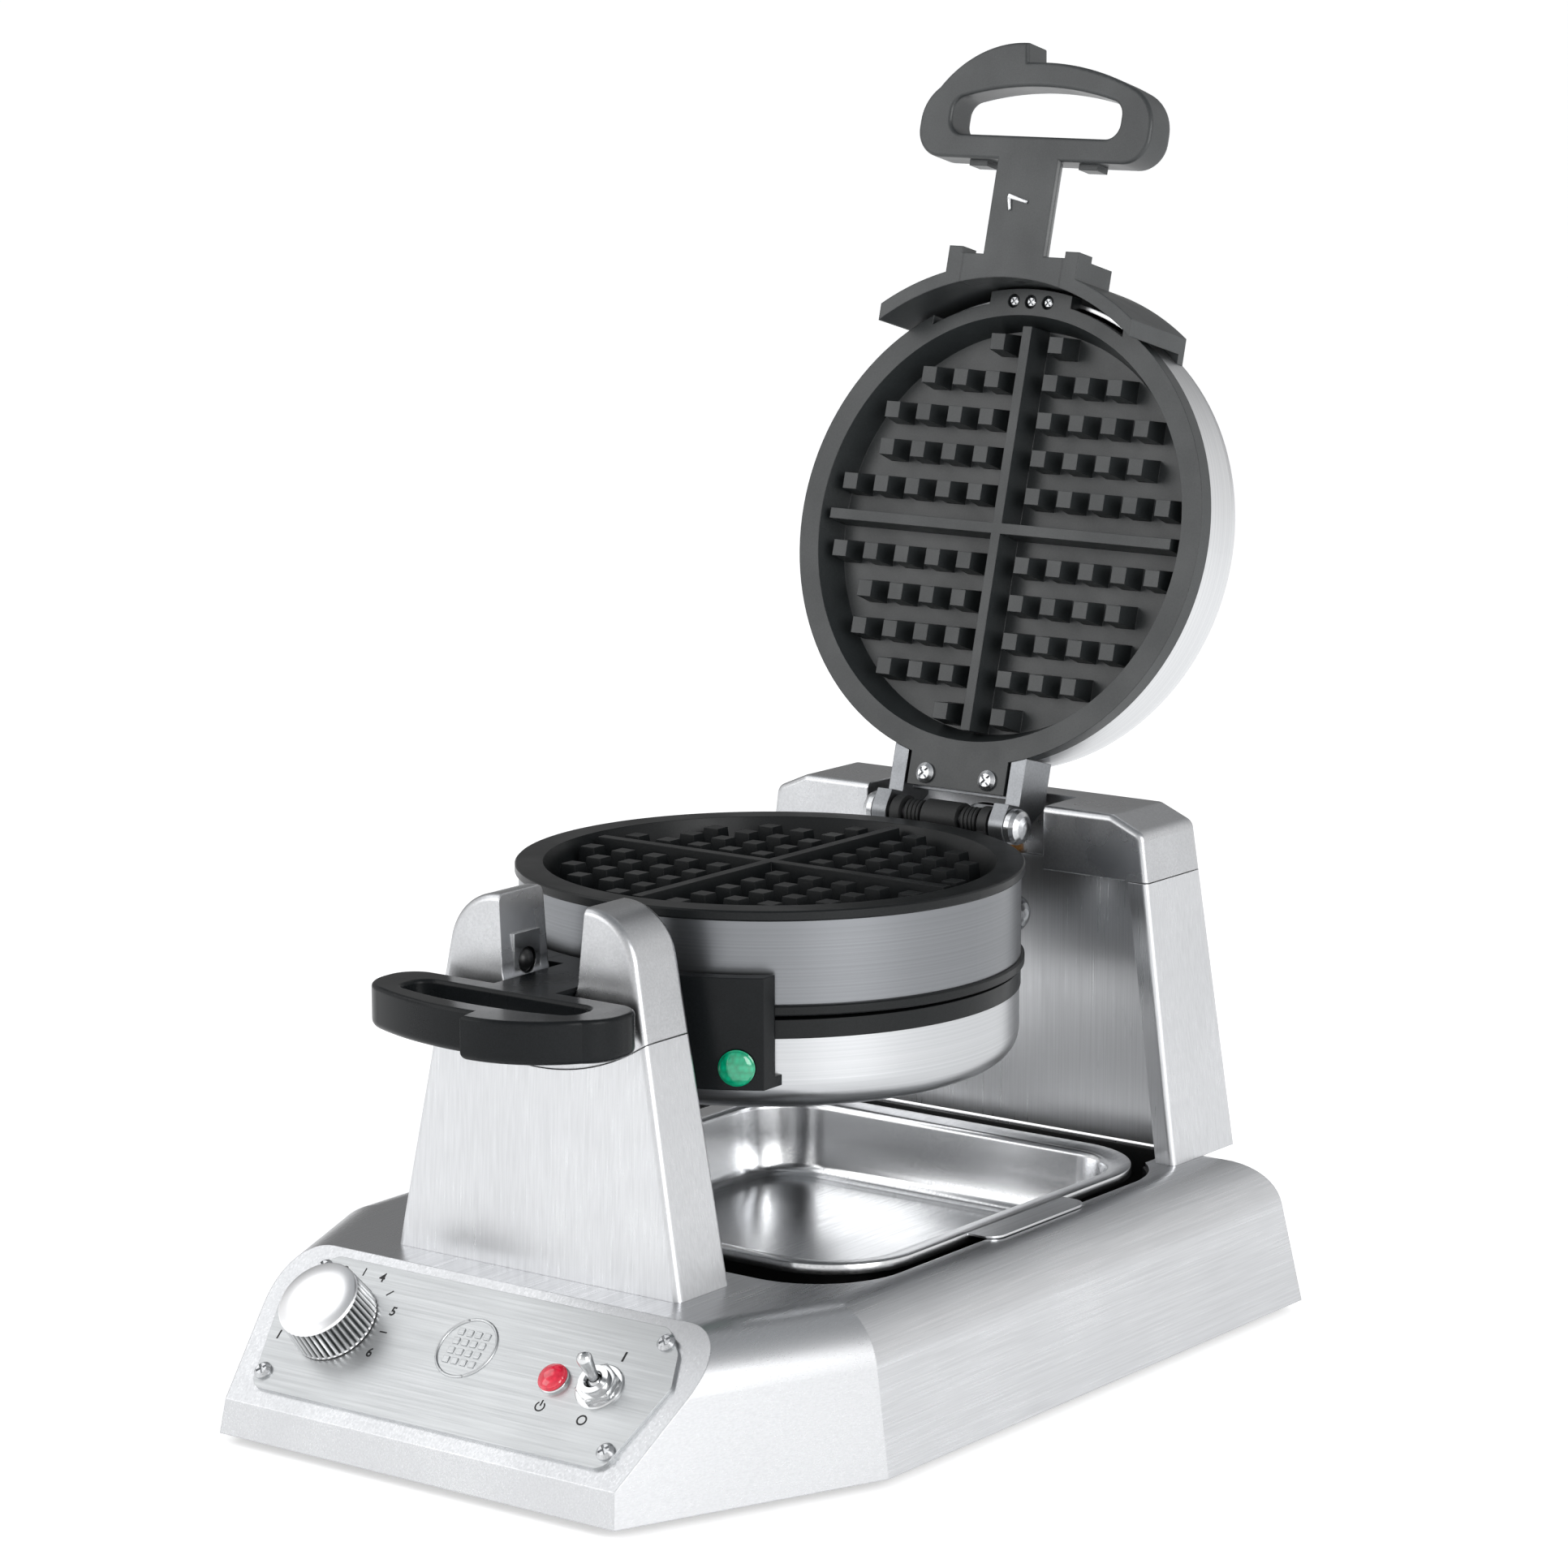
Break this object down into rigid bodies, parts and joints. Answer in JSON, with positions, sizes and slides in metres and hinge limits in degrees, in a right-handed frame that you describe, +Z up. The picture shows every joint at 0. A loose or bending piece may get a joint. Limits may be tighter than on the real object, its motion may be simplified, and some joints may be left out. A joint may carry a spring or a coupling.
{
  "type": "waffle maker",
  "caption": "Rotating double waffle maker: wedge base with dial and switch, two uprights, a drum with round cooking plates and two hinged lids with loop handles.",
  "frame": {"origin": "centre of the footprint, on the surface that the feet stand on", "axes": "+Z up, -Y towards the control panel, +X to the right seen from the panel"},
  "size_m": [0.282, 0.4322, 0.5108],
  "materials": {
    "brushed_stainless": "satin",
    "satin_cast_aluminium": "satin",
    "spun_aluminium": "satin",
    "nonstick_cast_aluminium": "non-stick, semi-gloss",
    "phenolic": "moulded, low gloss",
    "tray_steel": "bright",
    "black_steel": "matt black",
    "panel_overlay": "brushed, printed in black",
    "chrome": "bright",
    "bright_steel": "bright",
    "sintered_bronze": "satin",
    "red_lens": "clear moulded",
    "green_lens": "clear moulded",
    "rubber": "moulded",
    "black_nylon": "moulded",
    "electrical_plastic": "moulded",
    "heater_sheath": "heat-tinted"
  },
  "bodies": {
    "base": {"axle_bush": "sintered_bronze", "base_housing": "brushed_stainless", "bearing_plate": "bright_steel", "bottom_cover": "black_steel", "control_board": "electrical_plastic", "control_panel": "panel_overlay", "cord_gland": "black_nylon", "cover_screws": "bright_steel", "detent_plates": "bright_steel", "detent_springs": "bright_steel", "front_tower_cap": "satin_cast_aluminium", "front_tower_shell": "brushed_stainless", "lamp_bezel": "chrome", "panel_screws": "bright_steel", "pilot_lamp": "red_lens", "rear_tower_cap": "satin_cast_aluminium", "rear_tower_shell": "brushed_stainless", "regulator_body": "electrical_plastic", "rubber_feet": "rubber", "switch_body": "chrome", "switch_nut": "chrome", "terminal_block": "electrical_plastic", "tray_well": "black_steel"},
    "knob": {"control_knob": "chrome", "regulator_shaft": "bright_steel"},
    "toggle": {"toggle_lever": "chrome"},
    "ball_left": {"detent_ball_left": "black_nylon"},
    "ball_right": {"detent_ball_right": "black_nylon"},
    "tray": {"drip_tray": "tray_steel"},
    "drum": {"upper_body_plate": "nonstick_cast_aluminium", "lower_body_plate": "nonstick_cast_aluminium", "drum_band": "satin_cast_aluminium", "body_heater": "heater_sheath", "body_sensor": "bright_steel", "rear_axle": "bright_steel", "axle_collar": "bright_steel", "hinge_yoke": "black_steel", "yoke_screws": "bright_steel", "hinge_pins": "bright_steel", "pin_nuts": "bright_steel", "hinge_springs": "bright_steel"},
    "upper_lid": {"upper_grid_plate": "nonstick_cast_aluminium", "upper_lid_shell": "spun_aluminium", "upper_lid_handle": "phenolic", "upper_lid_bracket": "phenolic", "upper_hinge_arms": "bright_steel", "upper_lid_screws": "bright_steel", "upper_ready_lamp": "green_lens", "upper_lid_heater": "heater_sheath"},
    "lower_lid": {"lower_grid_plate": "nonstick_cast_aluminium", "lower_lid_shell": "spun_aluminium", "lower_lid_handle": "phenolic", "lower_lid_bracket": "phenolic", "lower_hinge_arms": "bright_steel", "lower_lid_screws": "bright_steel", "lower_ready_lamp": "green_lens", "lower_lid_heater": "heater_sheath"}
  },
  "joints": [
    {"name": "drum_turn", "type": "hinge", "parent": "base", "child": "drum", "pos_m": [0, 0.16, 0.1798], "axis": [0, 1, 0], "range_deg": [-12, 12]},
    {"name": "upper_lid_hinge", "type": "hinge", "parent": "drum", "child": "upper_lid", "pos_m": [0, 0.12416, 0.1977], "axis": [1, 0, 0], "range_deg": [0, 105.1]},
    {"name": "lower_lid_hinge", "type": "hinge", "parent": "drum", "child": "lower_lid", "pos_m": [0, 0.12416, 0.1619], "axis": [1, 0, 0], "range_deg": [-0.3, 0]},
    {"name": "knob_turn", "type": "hinge", "parent": "base", "child": "knob", "pos_m": [-0.063, -0.18508, 0.04528], "axis": [0, -0.6665, 0.7455], "range_deg": [-140, 130]},
    {"name": "toggle_throw", "type": "hinge", "parent": "base", "child": "toggle", "pos_m": [0.0648, -0.18839, 0.04568], "axis": [1, 0, 0], "range_deg": [0, 20]},
    {"name": "tray_lift", "type": "slide", "parent": "base", "child": "tray", "axis": [0, 0, 1], "range_m": [0, 0.025]},
    {"name": "ball_left_travel", "type": "slide", "parent": "base", "child": "ball_left", "axis": [-1, 0, 0], "range_m": [0, 0.0012], "stiffness_N_per_m": 500, "springref_m": -0.001},
    {"name": "ball_right_travel", "type": "slide", "parent": "base", "child": "ball_right", "axis": [1, 0, 0], "range_m": [0, 0.0012], "stiffness_N_per_m": 500, "springref_m": -0.001}
  ]
}
